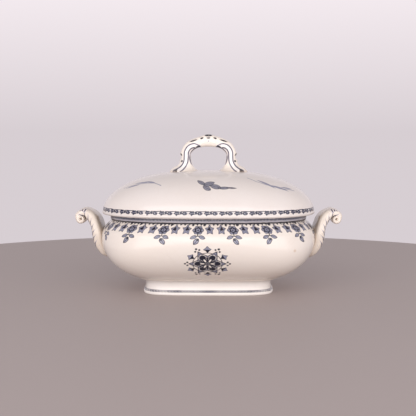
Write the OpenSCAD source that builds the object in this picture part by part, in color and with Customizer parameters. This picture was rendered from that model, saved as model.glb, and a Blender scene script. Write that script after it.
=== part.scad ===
// Footed soup tureen with a lift-off lid.
// The bowl stands on a moulded foot and carries two scrolled side handles.
// The lid overhangs the bowl's lip, drops a flange into its mouth, and is
// lifted by an arch handle with two scrolled legs.
// Millimetres, +Z up, length along X. The origin is on the table, under the middle of the foot.

/* [Bowl] */
// Length of the bowl at its belly, its widest line
bowl_length = 277; // [230:1:335]
// Width of the bowl at its belly
bowl_width = 203; // [168:1:246]
// Height of the belly above the table
belly_height = 74; // [62:0.5:84]
// Height of the top of the lip above the table
rim_height = 101.5; // [93:0.5:122]
// How far the wall under the lip stands in from the belly
rim_inset = 13; // [8:0.5:18]
// Height of the rolled lip
lip_height = 7.5; // [5:0.5:10]
// How far the rolled lip stands out from the wall under it
lip_bulge = 1.8; // [0.5:0.1:3]
// Thickness of the bowl's wall
bowl_wall = 5; // [4:0.1:7]
// Thickness of the bowl's floor
bowl_floor = 6; // [4:0.1:9]
// Squareness of the plan at the belly and above it, where 2 is an ellipse
belly_squareness = 2.7; // [2:0.1:4]
// Squareness of the plan at the foot
foot_squareness = 4.6; // [2:0.1:5]

/* [Foot] */
// Length of the foot at its base bead
foot_length = 168; // [140:1:202]
// Width of the foot at its base bead
foot_width = 112; // [93:1:135]
// Height of the foot
foot_height = 18; // [14:0.5:24]
// Thickness of the foot's wall
foot_wall = 7; // [5:0.5:10]
// Height of the bead round the base
foot_bead = 4.5; // [3:0.5:7]
// How far the top of the foot stands in from its bead
foot_waist = 3; // [1:0.5:6]

/* [Lid] */
// How far the lid's rolled edge stands out from the wall under the bowl's lip
lid_overhang = 12; // [8:0.5:15]
// Height of the dome from the top of the rolled edge to its crown
lid_rise = 50; // [40:1:62]
// Height of the lid's rolled edge
lid_bead = 4.5; // [3:0.5:7]
// Thickness of the lid's wall
lid_wall = 4.5; // [3.5:0.1:6.5]
// Depth of the flange that drops into the mouth of the bowl
flange_depth = 9; // [5:0.5:14]
// Thickness of the flange
flange_wall = 4.5; // [3.5:0.1:6]
// Gap all round between the flange and the mouth of the bowl
flange_gap = 2; // [1:0.1:4]
// Gap between the lip of the bowl and the lid that rests on it
seat_gap = 0.3; // [0.2:0.1:1]

/* [Side handles] */
// How far the roll of a side handle reaches out from the belly
handle_reach = 35.5; // [30:0.5:43]
// How far the top of a side handle stands above the bowl's lip
handle_rise = 6.5; // [5:0.5:11]
// How far below the bowl's lip a side handle's strap runs down the wall
handle_drop = 54; // [46:0.5:60]
// Width of a side handle across its roll
roll_width = 37; // [30:0.5:45]
// Width of a side handle where it joins the bowl
root_width = 62; // [50:1:75]
// Radius of the roll at the end of a side handle
roll_radius = 7; // [5.5:0.1:8]
// Thickness of the strap at the shoulder of a side handle
strap_thickness = 14; // [11:0.5:17]

/* [Lid handle] */
// Length of the arch handle over the tips of its two feet
arch_length = 102; // [85:1:122]
// Height of the arch handle's crest above the crown of the lid
arch_rise = 47; // [39:0.5:57]
// Distance between the middles of the two legs
leg_spacing = 58.5; // [52:0.5:68]
// Thickness of a leg at its waist
leg_thickness = 12.5; // [10:0.5:15]
// Thickness of the bar at the crest
bar_thickness = 16.8; // [13:0.1:20]
// Width of the bar, front to back
bar_width = 17; // [13:0.5:21]
// Width of a leg's waist, front to back
leg_width = 14; // [11:0.5:18]
// Width of a leg's foot, front to back
arch_foot_width = 36; // [30:0.5:44]

/* [Hidden] */

glaze = [0.95, 0.91, 0.86];
lid_glaze = [0.93, 0.90, 0.87];
foot_glaze = [0.97, 0.95, 0.92];
handle_glaze = [0.92, 0.87, 0.80];

// Points round the plan of every shell
plan_steps = 72;
// Points round the section of a handle
section_steps = 16;
// Stations that a curve gains between two given ones
curve_steps = 3;
// How deep the edges of a luted joint sink into the wall they are pressed on
lute_depth = 1;
// Where the bowl's lower wall leaves the foot, as an angle round its oval
wall_start = 20;

belly_x = bowl_length / 2;
belly_y = bowl_width / 2;
neck_x = foot_length / 2 - foot_waist;
neck_y = foot_width / 2 - foot_waist;
lip_low = rim_height - lip_height;
mouth_x = belly_x - rim_inset - bowl_wall;
mouth_y = belly_y - rim_inset - bowl_wall;
lid_low = rim_height + seat_gap;
dome_low = lid_low + lid_bead;
crown = dome_low + lid_rise;
edge_roll = lid_bead / 2;
lid_x = belly_x - rim_inset + lid_overhang;
lid_y = belly_y - rim_inset + lid_overhang;
dome_x = lid_x - 0.8;
dome_y = lid_y - 0.8;
flange_x = mouth_x - flange_gap;
flange_y = mouth_y - flange_gap;

// ---- Plans and shells -------------------------------------------------------------

// A point of a superelliptic plan, at an angle round the vertical axis.
function plan_point(half_x, half_y, squareness, angle) =
    let (across = pow(abs(cos(angle)) / half_x, squareness))
    let (deep = pow(abs(sin(angle)) / half_y, squareness))
    let (reach = pow(across + deep, -1 / squareness))
    [reach * cos(angle), reach * sin(angle)];

// A station of a shell is [half length, half width, height, squareness].
function ring_points(station) = [
    for (i = [0:plan_steps - 1])
        let (p = plan_point(station[0], station[1], station[3], i * 360 / plan_steps))
        [p[0], p[1], station[2]]
];

// Four-cornered faces between one ring of a sweep and the next.
function band_faces(low, high, count) = [
    for (i = [0:count - 1])
        let (j = (i + 1) % count)
        [low * count + i, high * count + i, high * count + j, low * count + j]
];

function flatten(lists) = [for (one = lists) for (item = one) item];

// A solid swept through rings of points; its two ends are capped, or joined when closed.
module swept(rings, closed = false) {
    count = len(rings[0]);
    last = len(rings) - 1;
    sides = flatten([for (r = [0:last - 1]) band_faces(r, r + 1, count)]);
    first_cap = [for (i = [0:count - 1]) i];
    last_cap = [for (i = [count - 1:-1:0]) last * count + i];
    ends = closed ? band_faces(last, 0, count) : [first_cap, last_cap];
    polyhedron(points = flatten(rings), faces = concat(sides, ends), convexity = 8);
}

module shell(stations, closed = false) {
    swept([for (s = stations) ring_points(s)], closed);
}

// ---- Bowl -------------------------------------------------------------------------

// The plan grows rounder from the foot up to the belly.
function squareness_at(z) =
    let (t = min(1, max(0, (z - foot_height) / (belly_height - foot_height))))
    foot_squareness + (belly_squareness - foot_squareness) * t;

// The lower wall is part of an oval, from the neck of the foot out to the belly.
function lower_wall(angle, inset, floor_rise) =
    let (out = (sin(angle) - sin(wall_start)) / (1 - sin(wall_start)))
    let (down = cos(angle) / cos(wall_start))
    let (z = belly_height - (belly_height - foot_height - floor_rise) * down)
    [
        neck_x + (belly_x - inset - neck_x) * out,
        neck_y + (belly_y - inset - neck_y) * out,
        z,
        squareness_at(z)
    ];

// The upper wall leans in from the belly to the underside of the lip.
function upper_inset(z) = rim_inset * pow((z - belly_height) / (lip_low - belly_height), 1.9);

function upper_wall(z, inset) = [
    belly_x - inset - upper_inset(z),
    belly_y - inset - upper_inset(z),
    z,
    belly_squareness
];

// Half length of the bowl's outside at a height, on the line through the side handles.
function bowl_half_length(z) =
    z >= belly_height
    ? belly_x - upper_inset(min(z, lip_low))
    : let (down = (belly_height - z) / (belly_height - foot_height))
      let (angle = acos(min(1, down) * cos(wall_start)))
      lower_wall(angle, 0, 0)[0];

// The rolled lip is half a round moulding on the outside of the rim.
function lip_roll(angle) =
    let (out = lip_bulge * cos(angle))
    [
        belly_x - rim_inset + out,
        belly_y - rim_inset + out,
        rim_height - lip_height / 2 + lip_height / 2 * sin(angle),
        belly_squareness
    ];

module bowl() {
    outside = concat(
        [for (a = [wall_start:10:90]) lower_wall(a, 0, 0)],
        [for (t = [0.3, 0.55, 0.8]) upper_wall(belly_height + t * (lip_low - belly_height), 0)],
        [for (a = [-90:45:90]) lip_roll(a)]
    );
    inside = concat(
        [[mouth_x, mouth_y, rim_height, belly_squareness]],
        [for (t = [1, 0.6]) upper_wall(belly_height + t * (lip_low - belly_height), bowl_wall)],
        [for (a = [90:-10:wall_start]) lower_wall(a, bowl_wall, bowl_floor)]
    );
    color(glaze) shell(concat(outside, inside));
}

// ---- Foot -------------------------------------------------------------------------

// A station of the foot, a distance in from the bead's widest line.
function foot_station(inset, z) = [
    foot_length / 2 - inset,
    foot_width / 2 - inset,
    z,
    foot_squareness
];

module foot() {
    bead_round = foot_bead / 3;
    inner_top = foot_waist + foot_wall;
    outside = [
        foot_station(bead_round, 0),
        foot_station(bead_round * 0.3, bead_round * 0.4),
        foot_station(0, bead_round),
        foot_station(0, foot_bead - bead_round),
        foot_station(bead_round * 0.8, foot_bead)
    ];
    cove = [
        for (t = [0.25:0.25:1])
            foot_station(bead_round * 0.8 + (foot_waist - bead_round * 0.8) * sin(90 * t),
                foot_bead + (foot_height - foot_bead) * t)
    ];
    inside = [foot_station(inner_top, foot_height), foot_station(inner_top - 1, 0)];
    color(foot_glaze) shell(concat(outside, cove, inside), closed = true);
}

// ---- Lid --------------------------------------------------------------------------

// The dome's section is a superellipse, a little fuller than an oval.
function dome(angle, half_x, half_y, low, rise) =
    let (out = pow(cos(angle), 2 / 2.6))
    let (up = pow(sin(angle), 2 / 1.8))
    [half_x * out, half_y * out, low + rise * up, belly_squareness];

// The lid's rolled edge, round its outside.
function lid_roll(angle) =
    let (out = edge_roll * (cos(angle) - 1))
    [
        lid_x + out,
        lid_y + out,
        lid_low + edge_roll + edge_roll * sin(angle),
        belly_squareness
    ];

module lid() {
    inner_x = flange_x - flange_wall;
    inner_y = flange_y - flange_wall;
    flange_low = lid_low - flange_depth;
    shelf = lid_low + lid_wall;
    crown_stop = 82;
    vault = [
        for (a = [crown_stop, 70, 58, 46, 34, 22, 9])
            dome(a, dome_x - lid_wall, dome_y - lid_wall, dome_low, lid_rise - lid_wall)
    ];
    flange = [
        [inner_x + 1.5, inner_y + 1.5, shelf, belly_squareness],
        [inner_x, inner_y, shelf - 1.5, belly_squareness],
        [inner_x, inner_y, flange_low + 1, belly_squareness],
        [inner_x + 1, inner_y + 1, flange_low, belly_squareness],
        [flange_x - 1, flange_y - 1, flange_low, belly_squareness],
        [flange_x, flange_y, flange_low + 1, belly_squareness],
        [flange_x, flange_y, lid_low, belly_squareness]
    ];
    edge = [for (a = [-90, -45, 0, 45]) lid_roll(a)];
    outside = [
        for (a = [0, 8, 17, 27, 37, 47, 56, 64, 72, 78, crown_stop])
            dome(a, dome_x, dome_y, dome_low, lid_rise)
    ];
    top = [[6, 4.5, crown, belly_squareness]];
    color(lid_glaze) shell(concat(vault, flange, edge, outside, top));
}

// ---- Handles ----------------------------------------------------------------------

// A smooth curve through given stations, by the Catmull-Rom rule.
function between(a, b, c, d, t) =
    0.5 * (2 * b + (c - a) * t + (2 * a - 5 * b + 4 * c - d) * t * t + (3 * b - a - 3 * c + d) * t * t * t);

function smooth_curve(stations) =
    let (last = len(stations) - 1)
    concat(
        [
            for (i = [0:last - 1])
                let (before = i == 0 ? 2 * stations[0] - stations[1] : stations[i - 1])
                let (after = i == last - 1 ? 2 * stations[last] - stations[i] : stations[i + 2])
                for (k = [0:curve_steps - 1])
                    between(before, stations[i], stations[i + 1], after, k / curve_steps)
        ],
        [stations[last]]
    );

function unit(v) = v / norm(v);

// A bar bent in the XZ plane. A station is [x, z, half thickness, half width];
// each section stands square to the curve, with its corners rounded by the squareness.
module bent_bar(stations, squareness) {
    last = len(stations) - 1;
    rings = [
        for (i = [0:last])
            let (ahead = stations[min(last, i + 1)])
            let (behind = stations[max(0, i - 1)])
            let (along = unit([ahead[0] - behind[0], ahead[1] - behind[1]]))
            [
                for (k = [0:section_steps - 1])
                    let (angle = k * 360 / section_steps)
                    let (p = plan_point(stations[i][2], stations[i][3], squareness, angle))
                    [
                        stations[i][0] + along[1] * p[0],
                        p[1],
                        stations[i][1] - along[0] * p[0]
                    ]
            ]
    ];
    swept(rings);
}

// One scrolled side handle, on the +X end of the bowl: a strap luted on the wall from
// its low tip upwards, leaning out at the shoulder and turning over into the roll.
module side_handle() {
    top_z = rim_height + handle_rise;
    low_z = rim_height - handle_drop;
    shoulder_z = lip_low - 10;
    rise = top_z - shoulder_z;
    roll_x = belly_x + handle_reach - roll_radius;
    roll_z = top_z - 2 * roll_radius;
    strap = strap_thickness / 2;
    root = root_width / 2;
    grip = roll_width / 2;
    // The bowl's end is curved, so the middle of the strap sinks deeper than its edges.
    curve_back = belly_x - belly_x * pow(1 - pow(root / belly_y, belly_squareness), 1 / belly_squareness);
    sink = lute_depth + curve_back;
    // Share of the way up the wall, how far the strap stands proud, share of its width.
    luted = [
        for (s = [[0, 5.5, 0.6], [0.14, 9, 0.8], [0.45, 11.4, 0.96], [0.74, 12.6, 1]])
            let (z = low_z + s[0] * (shoulder_z - low_z))
            [
                bowl_half_length(z) + (s[1] - sink) / 2,
                z,
                (s[1] + sink) / 2,
                root * s[2]
            ]
    ];
    free = [
        [belly_x + handle_reach * 0.19, shoulder_z, strap, root * 0.98],
        [belly_x + handle_reach * 0.27, shoulder_z + rise * 0.3, strap * 1.06, root * 0.9],
        [belly_x + handle_reach * 0.38, shoulder_z + rise * 0.52, strap * 1.06, root * 0.78],
        [belly_x + handle_reach * 0.5, top_z - roll_radius * 1.15, strap * 0.94, (root + grip) / 2],
        [roll_x - roll_radius * 0.85, top_z - roll_radius * 0.87, strap * 0.83, grip * 1.08],
        [roll_x - roll_radius * 0.15, top_z - roll_radius * 1.1, strap * 0.74, grip],
        [roll_x + roll_radius * 0.12, roll_z + roll_radius * 0.3, strap * 0.62, grip]
    ];
    bent_bar(smooth_curve(concat(luted, free)), 4);
    translate([roll_x, grip, roll_z])
        rotate([90, 0, 0])
            cylinder(r = roll_radius, h = roll_width, $fn = 48);
}

module handle_right() {
    color(handle_glaze) side_handle();
}

module handle_left() {
    color(handle_glaze) mirror([1, 0, 0]) side_handle();
}

// How far the outside of the dome lies below its crown, a distance from the middle.
function dome_drop(x) =
    let (out = pow(x / dome_x, 2.6))
    lid_rise * (1 - pow(1 - out, 1 / 1.8));

// The arch handle: a foot spread on the lid, a waisted leg, a shoulder, the bar and its
// crest, and the same again down the other side. Its heights are above the crown.
module lid_handle() {
    leg_x = leg_spacing / 2;
    foot_x = leg_x + 1.2;
    foot_half = arch_length / 2 - foot_x;
    foot_y = arch_foot_width / 2;
    base = -dome_drop(arch_length / 2) - 1.4;
    leg = leg_thickness / 2;
    leg_y = leg_width / 2;
    bar = bar_thickness / 2;
    bar_y = bar_width / 2;
    bar_z = arch_rise - bar;
    half_path = [
        [foot_x, base, foot_half, foot_y],
        [foot_x, -0.6, foot_half * 0.97, foot_y * 0.94],
        [foot_x - 0.1, 2, foot_half * 0.78, foot_y * 0.74],
        [foot_x - 0.6, 5.5, foot_half * 0.52, foot_y * 0.54],
        [leg_x, 11.5, leg * 1.15, leg_y * 1.08],
        [leg_x, arch_rise * 0.38, leg, leg_y],
        [leg_x, arch_rise * 0.5, leg * 1.06, leg_y],
        [leg_x * 0.86, bar_z - 8, leg * 1.04, leg_y * 1.05],
        [leg_x * 0.6, bar_z - 3.4, leg * 1.02, bar_y * 0.95],
        [leg_x * 0.28, bar_z - 1, bar * 0.86, bar_y],
        [0, bar_z, bar, bar_y]
    ];
    last = len(half_path) - 1;
    whole_path = concat(
        half_path,
        [for (i = [last - 1:-1:0]) [-half_path[i][0], half_path[i][1], half_path[i][2], half_path[i][3]]]
    );
    color(handle_glaze) translate([0, 0, crown]) bent_bar(smooth_curve(whole_path), 2.6);
}

bowl();
foot();
handle_left();
handle_right();
lid();
lid_handle();
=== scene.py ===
# %% [markdown]
# # A footed soup tureen in printed earthenware
# The object is a cream-glazed tureen: an oval bowl on a moulded foot, two scrolled side
# handles, and a domed lid with an arch handle. A blue-black pattern is printed under the
# glaze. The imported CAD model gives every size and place, and the looks are built round it.

# %% Load the frame
import math

import bmesh
import bpy
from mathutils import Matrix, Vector


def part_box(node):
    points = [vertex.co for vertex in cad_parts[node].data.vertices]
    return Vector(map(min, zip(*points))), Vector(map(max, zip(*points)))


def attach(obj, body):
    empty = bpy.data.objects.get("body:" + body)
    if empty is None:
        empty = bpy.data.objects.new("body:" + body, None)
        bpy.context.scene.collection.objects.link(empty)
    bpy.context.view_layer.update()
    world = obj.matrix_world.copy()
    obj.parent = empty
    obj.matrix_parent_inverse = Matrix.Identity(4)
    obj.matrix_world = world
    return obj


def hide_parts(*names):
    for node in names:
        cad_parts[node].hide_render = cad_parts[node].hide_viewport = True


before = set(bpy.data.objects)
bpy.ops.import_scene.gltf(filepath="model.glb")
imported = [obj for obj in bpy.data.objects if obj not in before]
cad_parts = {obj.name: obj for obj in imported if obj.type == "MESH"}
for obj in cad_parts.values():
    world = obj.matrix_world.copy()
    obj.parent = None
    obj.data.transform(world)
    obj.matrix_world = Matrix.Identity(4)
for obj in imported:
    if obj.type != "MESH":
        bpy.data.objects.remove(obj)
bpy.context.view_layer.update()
MM = 0.001


# %% [markdown]
# ## Camera
# The tureen is seen from the front, a little above its rim, with a long lens that keeps
# the foot and the lid almost free of perspective. A camera a good metre away does that.

# %% Camera
VIEW_DISTANCE = 1.2
VIEW_HEIGHT = 0.2065
VIEW_TURN = math.radians(0.8)
VIEW_TILT = math.radians(4.75)
VIEW_SIDESTEP = -0.0007
LENS = 79.4
FILM_WIDTH = 36.0

camera_data = bpy.data.cameras.new("camera")
camera_data.sensor_width = FILM_WIDTH
camera_data.lens = LENS
camera = bpy.data.objects.new("camera", camera_data)
camera.location = (
    VIEW_DISTANCE * math.sin(VIEW_TURN) + VIEW_SIDESTEP,
    -VIEW_DISTANCE * math.cos(VIEW_TURN),
    VIEW_HEIGHT,
)
camera.rotation_euler = (math.pi / 2 - VIEW_TILT, 0, VIEW_TURN)
bpy.context.scene.collection.objects.link(camera)
bpy.context.scene.camera = camera
bpy.context.scene.view_settings.view_transform = "Standard"


# %% [markdown]
# ## The plan of the pot
# Seen from above, the bowl and the lid are ovals with full corners. Such a plan is a
# superellipse: a squareness of 2 is a plain oval, and a higher one fills the corners.
# It is worked out as a formula, so every ring of the pot can use the same one.

# %% Plan
def plan_point(half_x, half_y, squareness, angle):
    across = (abs(math.cos(angle)) / half_x) ** squareness
    deep = (abs(math.sin(angle)) / half_y) ** squareness
    reach = (across + deep) ** (-1 / squareness)
    return reach * math.cos(angle), reach * math.sin(angle)


def plan_ring(station, around):
    """The points of one ring of a shell: (half length, half width, height, squareness)."""
    half_x, half_y, height, squareness = station
    ring = []
    for k in range(around):
        x, y = plan_point(half_x, half_y, squareness, math.tau * k / around)
        ring.append((x, y, height))
    return ring


# %% [markdown]
# ## A skin of rings
# Every piece here is a skin stretched over rings: a potter's mould does the same when clay
# is pressed into it. A full spin of a comb of points makes a flat disc of rings, as on
# a wheel, and each ring is then pressed to its own plan and height. The disc keeps the
# order of its rings, so the print and the bake maps are laid on it before it is pressed.

# %% Skin of rings
POLE = 0.002


def skin(name, rings, maps_at, press=None):
    around = len(rings[0])
    bm = bmesh.new()
    comb = [bm.verts.new((1.0 + i, 0, 0)) for i in range(len(rings))]
    teeth = [bm.edges.new(pair) for pair in zip(comb, comb[1:])]
    bmesh.ops.spin(
        bm,
        geom=comb + teeth,
        cent=(0, 0, 0),
        axis=(0, 0, 1),
        angle=math.tau,
        steps=around,
        use_merge=True,
        use_duplicate=False,
    )
    place = {}
    for vert in bm.verts:
        turn = math.atan2(vert.co.y, vert.co.x) / math.tau * around
        place[vert] = (round(vert.co.xy.length) - 1, round(turn) % around)

    print_map = bm.loops.layers.uv.new("Print")
    bake_map = bm.loops.layers.uv.new("OFBake")
    for face in bm.faces:
        spots = [place[loop.vert] for loop in face.loops]
        steps = [k for _, k in spots]
        crosses_seam = max(steps) - min(steps) > around / 2
        steps = [k + around if crosses_seam and k < around / 2 else k for k in steps]
        low_ring = min(i for i, _ in spots)
        middle = sum(steps) / len(steps)
        for loop, (i, _), k in zip(face.loops, spots, steps):
            loop[print_map].uv, loop[bake_map].uv = maps_at(i, k, low_ring, middle)

    for vert, (i, k) in place.items():
        point = Vector(rings[i][k])
        vert.co = (press(point, i, k) if press else point) * MM
    bmesh.ops.remove_doubles(bm, verts=bm.verts, dist=0.00001)
    bmesh.ops.recalc_face_normals(bm, faces=bm.faces)
    for face in bm.faces:
        face.smooth = True
    mesh = bpy.data.meshes.new(name)
    bm.to_mesh(mesh)
    bm.free()
    piece = bpy.data.objects.new(name, mesh)
    bpy.context.scene.collection.objects.link(piece)
    print(name, "has", len(mesh.vertices), "points and", len(mesh.polygons), "faces")
    return piece


# %% Length along a line
def lengths_along(points):
    """Running length of a line through points, starting at 0."""
    total = [0.0]
    for a, b in zip(points, points[1:]):
        total.append(total[-1] + math.dist(a, b))
    return total


# %% [markdown]
# ## Maps for a shell
# A printed band is a strip of tissue paper wrapped round the pot, so its map counts
# millimetres round the plan from the middle of the front, and millimetres of height. The
# bake map is separate: the front half, the back half and the inside each get a strip.

# %% Maps for a shell
AROUND = 288
OUTSIDE_STRIP = 0.36
STRIP_GAP = 0.01
UNPRINTED = -1000.0


def shell_maps(stations, print_plan, heights, rim):
    """Maps of a shell whose outside is its rings up to number rim, and its inside the rest."""
    half_x, half_y, squareness = print_plan
    plan = [(x, y) for x, y, _ in plan_ring((half_x, half_y, 0, squareness), AROUND)]
    round_plan = lengths_along(plan + plan[:1])
    front = round_plan[AROUND * 3 // 4]
    section = lengths_along([(s[1], s[2]) for s in stations])
    outer = section[rim]
    inner = section[-1] - outer
    pitch = OUTSIDE_STRIP + STRIP_GAP

    def maps_at(i, k, low_ring, middle):
        printed = (round_plan[k] - front, heights[i])
        if low_ring >= rim:
            share = (section[i] - outer) / inner
            low = 2 * pitch
            return (printed[0], UNPRINTED), (k / AROUND, low + share * (1 - low))
        half = 0 if middle < AROUND / 2 else 1
        across = (k - half * AROUND / 2) / (AROUND / 2)
        return printed, (across, half * pitch + section[i] / outer * OUTSIDE_STRIP)

    print("perimeter of the printed plan:", round(round_plan[-1], 1), "mm")
    return maps_at, round_plan[-1]


# %% [markdown]
# ## The bowl
# The bowl is cast in a mould. Its lower wall is part of an oval that swells from the foot
# to the belly, its upper wall leans in to the neck, and a rolled lip closes it. The plan
# is squarer at the foot than at the belly. The inside follows one wall's thickness away.

# %% Bowl sizes
bowl_low, bowl_high = [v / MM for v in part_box("bowl")]
BELLY_X = bowl_high.x
BELLY_Y = bowl_high.y
FOOT_TOP = bowl_low.z
RIM_Z = bowl_high.z
_, foot_high = [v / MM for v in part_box("foot")]
FOOT_WAIST = 3.0
NECK_X = foot_high.x - FOOT_WAIST
NECK_Y = foot_high.y - FOOT_WAIST
BELLY_Z = 74.0
RIM_INSET = 13.0
LIP_HEIGHT = 7.5
LIP_BULGE = 1.8
LIP_ROUND = 1.5
UPPER_CURVE = 1.9
BOWL_WALL = 5.0
BOWL_FLOOR = 6.0
BELLY_SQUARENESS = 2.7
FOOT_SQUARENESS = 4.6
WALL_START = math.radians(20)
LIP_Z = RIM_Z - LIP_HEIGHT
print("bowl half length and half width in mm:", round(BELLY_X, 1), round(BELLY_Y, 1))


# %% Bowl walls
def bowl_squareness(z):
    rise = min(1, max(0, (z - FOOT_TOP) / (BELLY_Z - FOOT_TOP)))
    return FOOT_SQUARENESS + (BELLY_SQUARENESS - FOOT_SQUARENESS) * rise


def lower_wall(angle, inset, floor):
    out = (math.sin(angle) - math.sin(WALL_START)) / (1 - math.sin(WALL_START))
    down = math.cos(angle) / math.cos(WALL_START)
    z = BELLY_Z - (BELLY_Z - FOOT_TOP - floor) * down
    half_x = NECK_X + (BELLY_X - inset - NECK_X) * out
    half_y = NECK_Y + (BELLY_Y - inset - NECK_Y) * out
    return half_x, half_y, z, bowl_squareness(z)


def upper_wall(share, inset):
    lean = inset + RIM_INSET * share**UPPER_CURVE
    return BELLY_X - lean, BELLY_Y - lean, BELLY_Z + share * (LIP_Z - BELLY_Z), BELLY_SQUARENESS


def steps_between(start, end, count):
    return [start + (end - start) * n / count for n in range(count + 1)]


# %% [markdown]
# The rings start at the middle of the bowl's underside. They go out to the foot, up the
# outside, over the rolled lip, down the inside, and end at the middle of the inner floor.

# %% Bowl rings
bowl_stations = [(POLE, POLE, FOOT_TOP, FOOT_SQUARENESS)]
for share in (0.4, 0.75, 0.98):
    bowl_stations.append((NECK_X * share, NECK_Y * share, FOOT_TOP, FOOT_SQUARENESS))
bowl_stations += [lower_wall(a, 0, 0) for a in steps_between(WALL_START, math.pi / 2, 28)]
bowl_stations += [upper_wall(t, 0) for t in steps_between(0, 0.97, 12)[1:]]
for angle in steps_between(-math.pi / 2, math.pi / 2, 14):
    out = RIM_INSET - LIP_BULGE * math.cos(angle)
    z = RIM_Z - LIP_HEIGHT / 2 + LIP_HEIGHT / 2 * math.sin(angle)
    bowl_stations.append((BELLY_X - out, BELLY_Y - out, z, BELLY_SQUARENESS))
bowl_rim = len(bowl_stations) - 1
for turn in steps_between(0, math.pi / 2, 4):
    out = RIM_INSET + BOWL_WALL - LIP_ROUND + LIP_ROUND * math.sin(turn)
    z = RIM_Z - LIP_ROUND + LIP_ROUND * math.cos(turn)
    bowl_stations.append((BELLY_X - out, BELLY_Y - out, z, BELLY_SQUARENESS))
bowl_stations += [upper_wall(t, BOWL_WALL) for t in steps_between(1, 0.05, 10)]
bowl_stations += [
    lower_wall(a, BOWL_WALL, BOWL_FLOOR) for a in steps_between(math.pi / 2, WALL_START, 22)
]
floor_z = bowl_stations[-1][2]
for share in (0.95, 0.8, 0.5, 0.2):
    bowl_stations.append((NECK_X * share, NECK_Y * share, floor_z, FOOT_SQUARENESS))
bowl_stations.append((POLE, POLE, floor_z, FOOT_SQUARENESS))

print("the bowl has", len(bowl_stations), "rings, its rim is number", bowl_rim)


# %% [markdown]
# Above the belly the print's height is the plain height. Below the belly the wall turns in
# under the bowl, so there the height is counted along the wall instead.

# %% Heights for the bowl's print
bowl_heights = []
wall_lengths = lengths_along([(s[1], s[2]) for s in bowl_stations])
belly_ring = min(range(len(bowl_stations)), key=lambda n: abs(bowl_stations[n][2] - BELLY_Z))
for n, station in enumerate(bowl_stations):
    below = wall_lengths[belly_ring] - wall_lengths[n]
    bowl_heights.append(BELLY_Z - below if n < belly_ring else station[2])


# %% Bowl skin
FRIEZE_INSET = 6.2
frieze_plan = (BELLY_X - FRIEZE_INSET, BELLY_Y - FRIEZE_INSET, BELLY_SQUARENESS)
bowl_maps, frieze_length = shell_maps(bowl_stations, frieze_plan, bowl_heights, bowl_rim)
bowl_shell = skin("bowl_shell", [plan_ring(s, AROUND) for s in bowl_stations], bowl_maps)
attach(bowl_shell, "bowl_body")
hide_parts("bowl")


# %% [markdown]
# ## The foot
# The foot is a moulded ring with a bead round its base and a hollow neck above it. It is
# luted under the bowl with slip, which leaves a small fillet where the two meet. The rings
# go up the outside, over the fillet, down the inside, and close along the base.

# %% Foot sizes
FOOT_BEAD = 4.5
BEAD_ROUND = FOOT_BEAD / 2
BEAD_OUT = 1.4
FOOT_WALL = 7.0
FOOT_INSIDE = FOOT_WAIST + FOOT_WALL
NECK_FOOT = 1.9
NECK_DROP = 5.8
# The fillet's points, as (inset from the bead's edge, height over the foot's top). Its last
# point lies inside the bowl's wall.
FILLET = (
    (2.75, -3.6),
    (2.0, -1.8),
    (0.7, -0.4),
    (-1.2, 0.6),
    (-3.5, 1.4),
    (-6.0, 2.2),
    (-7.4, 3.0),
)


def foot_station(inset, z):
    return foot_high.x - inset, foot_high.y - inset, z, FOOT_SQUARENESS


# %% Foot rings
foot_stations = [foot_station(1.6, 0.0)]
for angle in steps_between(-math.pi / 2, math.pi / 2, 10):
    inset = BEAD_OUT - BEAD_OUT * math.cos(angle)
    foot_stations.append(foot_station(inset, BEAD_ROUND + BEAD_ROUND * math.sin(angle)))
foot_stations.append(foot_station(NECK_FOOT, FOOT_BEAD + 0.25))
neck = FOOT_TOP - NECK_DROP - FOOT_BEAD
for share in steps_between(0.1, 1.0, 6):
    lean = NECK_FOOT + (FOOT_WAIST - NECK_FOOT) * math.sin(math.pi / 2 * share)
    foot_stations.append(foot_station(lean, FOOT_BEAD + neck * share))
foot_stations += [foot_station(inset, FOOT_TOP + rise) for inset, rise in FILLET]
foot_rim = len(foot_stations) - 1
foot_stations.append(foot_station(FOOT_INSIDE, FOOT_TOP + 0.5))
for share in (0.75, 0.5, 0.25):
    foot_stations.append(foot_station(FOOT_INSIDE - 1 + share, FOOT_TOP * share))
foot_stations.append(foot_station(FOOT_INSIDE - 1.2, 0.8))
foot_stations.append(foot_station(FOOT_INSIDE - 2, 0.0))
foot_stations.append(foot_stations[0])


# %% Foot skin
foot_plan = (foot_high.x, foot_high.y, FOOT_SQUARENESS)
foot_maps, foot_length = shell_maps(
    foot_stations, foot_plan, [s[2] for s in foot_stations], foot_rim
)
foot_ring = skin("foot_ring", [plan_ring(s, AROUND) for s in foot_stations], foot_maps)
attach(foot_ring, "bowl_body")
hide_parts("foot")


# %% [markdown]
# ## The lid
# The lid is one casting: a flange that drops into the bowl's mouth, a flat seat that rests
# on its lip, a rolled edge that overhangs it, and a full dome. The dome's section is again
# a superellipse, because a plain oval looks too pointed at the shoulder.

# %% Lid sizes
lid_low, lid_high = [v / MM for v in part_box("lid")]
LID_X = lid_high.x
LID_Y = lid_high.y
CROWN_Z = lid_high.z
LID_BEAD = 4.5
LID_WALL = 4.5
FLANGE_WALL = 4.5
FLANGE_GAP = 2.0
FLANGE_DEPTH = 9.0
FLANGE_TIP = 1.2
SEAT_Z = lid_low.z + FLANGE_DEPTH
DOME_Z = SEAT_Z + LID_BEAD
DOME_RISE = CROWN_Z - DOME_Z
EDGE = LID_BEAD / 2
EDGE_STEP = 0.8
DOME_SHOULDER = 2.6
DOME_CROWN = 1.8
VAULT_START = 0.11
FLANGE_X = BELLY_X - RIM_INSET - BOWL_WALL - FLANGE_GAP
FLANGE_Y = BELLY_Y - RIM_INSET - BOWL_WALL - FLANGE_GAP
print("the lid's flange stands", FLANGE_GAP, "mm clear inside the bowl's mouth")


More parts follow.
